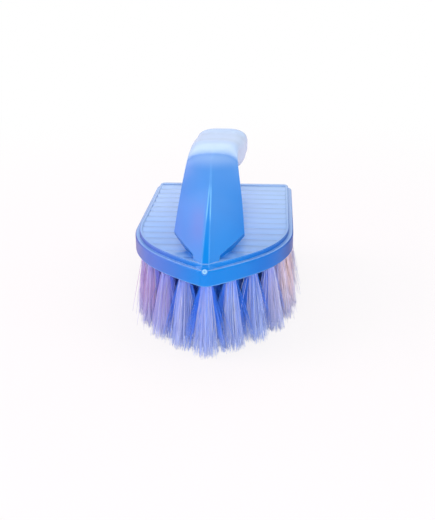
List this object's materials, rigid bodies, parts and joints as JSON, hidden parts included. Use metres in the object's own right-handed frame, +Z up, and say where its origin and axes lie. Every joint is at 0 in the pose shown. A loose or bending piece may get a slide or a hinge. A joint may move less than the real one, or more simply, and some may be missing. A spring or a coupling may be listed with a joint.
{
  "type": "scrub brush",
  "caption": "Hand scrub brush with a pointed iron-shaped block, a leaning keeled bridge handle moulded in one with it, and flared bristle tufts anchored in blind holes.",
  "frame": {"origin": "on the plane of the trimmed bristle tips, below the middle of the whole brush", "axes": "+Z up out of the panel towards the grip, -Y to the pointed front, +X to the brush's side"},
  "size_m": [0.0978, 0.1624, 0.0985],
  "materials": {
    "body": "glossy injection-moulded plastic",
    "bristle": "drawn and crimped plastic filament",
    "staple": "flat drawn wire, cropped"
  },
  "bodies": {
    "root": {"moulded_body": "body", "outer_tuft_01": "bristle", "outer_tuft_02": "bristle", "outer_tuft_03": "bristle", "outer_tuft_04": "bristle", "outer_tuft_05": "bristle", "outer_tuft_06": "bristle", "outer_tuft_07": "bristle", "outer_tuft_08": "bristle", "outer_tuft_09": "bristle", "outer_tuft_10": "bristle", "outer_tuft_11": "bristle", "outer_tuft_12": "bristle", "outer_tuft_13": "bristle", "outer_tuft_14": "bristle", "outer_tuft_15": "bristle", "outer_tuft_16": "bristle", "outer_tuft_17": "bristle", "outer_tuft_18": "bristle", "outer_tuft_19": "bristle", "outer_tuft_20": "bristle", "outer_tuft_21": "bristle", "outer_tuft_22": "bristle", "outer_tuft_23": "bristle", "outer_tuft_24": "bristle", "outer_tuft_25": "bristle", "outer_tuft_26": "bristle", "middle_tuft_01": "bristle", "middle_tuft_02": "bristle", "middle_tuft_03": "bristle", "middle_tuft_04": "bristle", "middle_tuft_05": "bristle", "middle_tuft_06": "bristle", "middle_tuft_07": "bristle", "middle_tuft_08": "bristle", "middle_tuft_09": "bristle", "middle_tuft_10": "bristle", "middle_tuft_11": "bristle", "middle_tuft_12": "bristle", "middle_tuft_13": "bristle", "middle_tuft_14": "bristle", "middle_tuft_15": "bristle", "middle_tuft_16": "bristle", "middle_tuft_17": "bristle", "middle_tuft_18": "bristle", "inner_tuft_01": "bristle", "inner_tuft_02": "bristle", "inner_tuft_03": "bristle", "inner_tuft_04": "bristle", "inner_tuft_05": "bristle", "inner_tuft_06": "bristle", "inner_tuft_07": "bristle", "inner_tuft_08": "bristle", "inner_tuft_09": "bristle", "inner_tuft_10": "bristle", "inner_tuft_11": "bristle", "inner_tuft_12": "bristle", "anchor_staples": "staple"}
  },
  "joints": []
}
